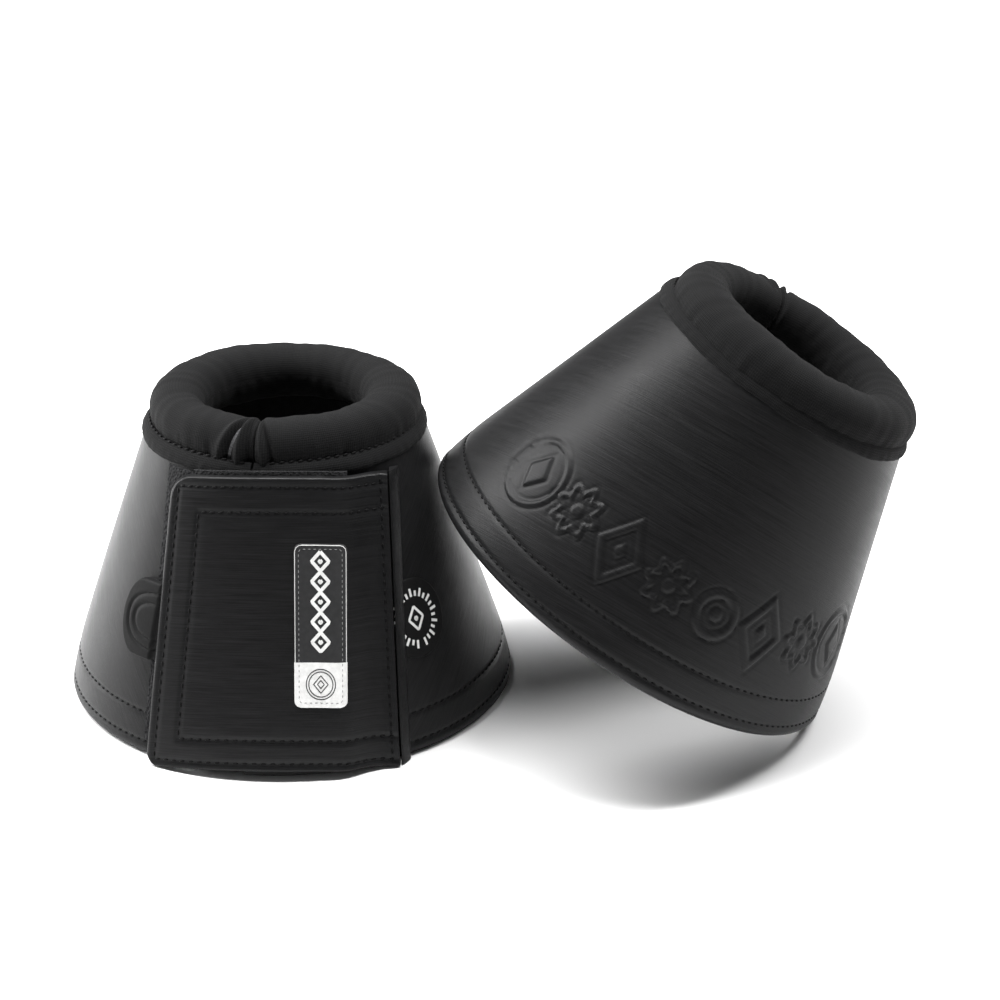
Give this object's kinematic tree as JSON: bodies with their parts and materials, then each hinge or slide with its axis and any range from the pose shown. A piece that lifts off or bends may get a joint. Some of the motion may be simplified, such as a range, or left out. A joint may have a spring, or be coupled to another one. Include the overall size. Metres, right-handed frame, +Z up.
{
  "type": "horse bell boots",
  "caption": "Pair of wrap-round horse bell boots with padded collars and hook-and-loop front flaps, one standing and its mirror image leaning on it.",
  "frame": {"origin": "on the floor under the middle of the pair's box", "axes": "+Z up, +X from the standing boot towards the leaning boot, -Y the side that the standing boot's closure faces"},
  "size_m": [0.3172, 0.194, 0.1702],
  "materials": {
    "brushed_leather": "satin, brushed",
    "knit_neoprene": "matt fine knit",
    "foam": "matt foam",
    "hook_and_loop": "matt pile",
    "woven_label": "woven label",
    "moulded_rubber": "matt moulded"
  },
  "bodies": {
    "standing_back": {"standing_back_shell": "brushed_leather", "standing_back_lining": "knit_neoprene", "standing_back_collar_cover": "knit_neoprene", "standing_back_collar_core": "foam", "standing_back_welt": "knit_neoprene"},
    "standing_flap_wing": {"standing_flap_wing_shell": "brushed_leather", "standing_flap_wing_lining": "knit_neoprene", "standing_flap_wing_collar_cover": "knit_neoprene", "standing_flap_wing_collar_core": "foam", "standing_flap_wing_welt": "knit_neoprene", "standing_under_panel": "knit_neoprene", "standing_under_loop_patch": "hook_and_loop", "standing_seam_strip": "brushed_leather", "standing_side_badge": "moulded_rubber"},
    "standing_tab_wing": {"standing_tab_wing_shell": "brushed_leather", "standing_tab_wing_lining": "knit_neoprene", "standing_tab_wing_collar_cover": "knit_neoprene", "standing_tab_wing_collar_core": "foam", "standing_tab_wing_welt": "knit_neoprene", "standing_outer_loop_patch": "hook_and_loop", "standing_inner_hook_patch": "hook_and_loop"},
    "standing_flap": {"standing_flap_panel": "brushed_leather", "standing_flap_hook_panel": "hook_and_loop", "standing_label": "woven_label", "standing_pull_tab": "moulded_rubber"},
    "leaning_back": {"leaning_back_shell": "brushed_leather", "leaning_back_lining": "knit_neoprene", "leaning_back_collar_cover": "knit_neoprene", "leaning_back_collar_core": "foam", "leaning_back_welt": "knit_neoprene"},
    "leaning_flap_wing": {"leaning_flap_wing_shell": "brushed_leather", "leaning_flap_wing_lining": "knit_neoprene", "leaning_flap_wing_collar_cover": "knit_neoprene", "leaning_flap_wing_collar_core": "foam", "leaning_flap_wing_welt": "knit_neoprene", "leaning_under_panel": "knit_neoprene", "leaning_under_loop_patch": "hook_and_loop", "leaning_seam_strip": "brushed_leather", "leaning_side_badge": "moulded_rubber"},
    "leaning_tab_wing": {"leaning_tab_wing_shell": "brushed_leather", "leaning_tab_wing_lining": "knit_neoprene", "leaning_tab_wing_collar_cover": "knit_neoprene", "leaning_tab_wing_collar_core": "foam", "leaning_tab_wing_welt": "knit_neoprene", "leaning_outer_loop_patch": "hook_and_loop", "leaning_inner_hook_patch": "hook_and_loop"},
    "leaning_flap": {"leaning_flap_panel": "brushed_leather", "leaning_flap_hook_panel": "hook_and_loop", "leaning_label": "woven_label", "leaning_pull_tab": "moulded_rubber"}
  },
  "joints": [
    {"name": "leaning_boot_lift", "type": "slide", "parent": "standing_back", "child": "leaning_back", "axis": [0, 0, 1], "range_m": [0, 0.12]},
    {"name": "standing_flap_wing_open", "type": "hinge", "parent": "standing_back", "child": "standing_flap_wing", "pos_m": [-0.00407, -0.01395, 0.0478], "axis": [-0.2755, 0.1003, 0.956], "range_deg": [0, 20.5]},
    {"name": "standing_tab_wing_open", "type": "hinge", "parent": "standing_back", "child": "standing_tab_wing", "pos_m": [-0.14115, -0.01395, 0.0478], "axis": [-0.2755, -0.1003, -0.956], "range_deg": [0, 32.8]},
    {"name": "standing_flap_open", "type": "hinge", "parent": "standing_flap_wing", "child": "standing_flap", "pos_m": [-0.02973, -0.05291, 0.04669], "axis": [-0.0424, 0.3552, 0.9338], "range_deg": [0, 82]},
    {"name": "leaning_flap_wing_open", "type": "hinge", "parent": "leaning_back", "child": "leaning_flap_wing", "pos_m": [0.13996, 0.01395, 0.04979], "axis": [-0.273, 0.1003, -0.9568], "range_deg": [0, 27.5]},
    {"name": "leaning_tab_wing_open", "type": "hinge", "parent": "leaning_back", "child": "leaning_tab_wing", "pos_m": [0.02371, 0.01395, 0.12243], "axis": [0.7403, -0.1003, 0.6648], "range_deg": [0, 44]},
    {"name": "leaning_flap_open", "type": "hinge", "parent": "leaning_flap_wing", "child": "leaning_flap", "pos_m": [0.11761, 0.05291, 0.06245], "axis": [-0.4589, 0.3552, -0.8144], "range_deg": [0, 110]}
  ],
  "couplings": [
    {"joint": "standing_flap_wing_open", "follows": "standing_flap_open", "ratio": 0.25},
    {"joint": "standing_tab_wing_open", "follows": "standing_flap_open", "ratio": 0.4},
    {"joint": "leaning_flap_wing_open", "follows": "leaning_flap_open", "ratio": 0.25},
    {"joint": "leaning_tab_wing_open", "follows": "leaning_flap_open", "ratio": 0.4}
  ]
}
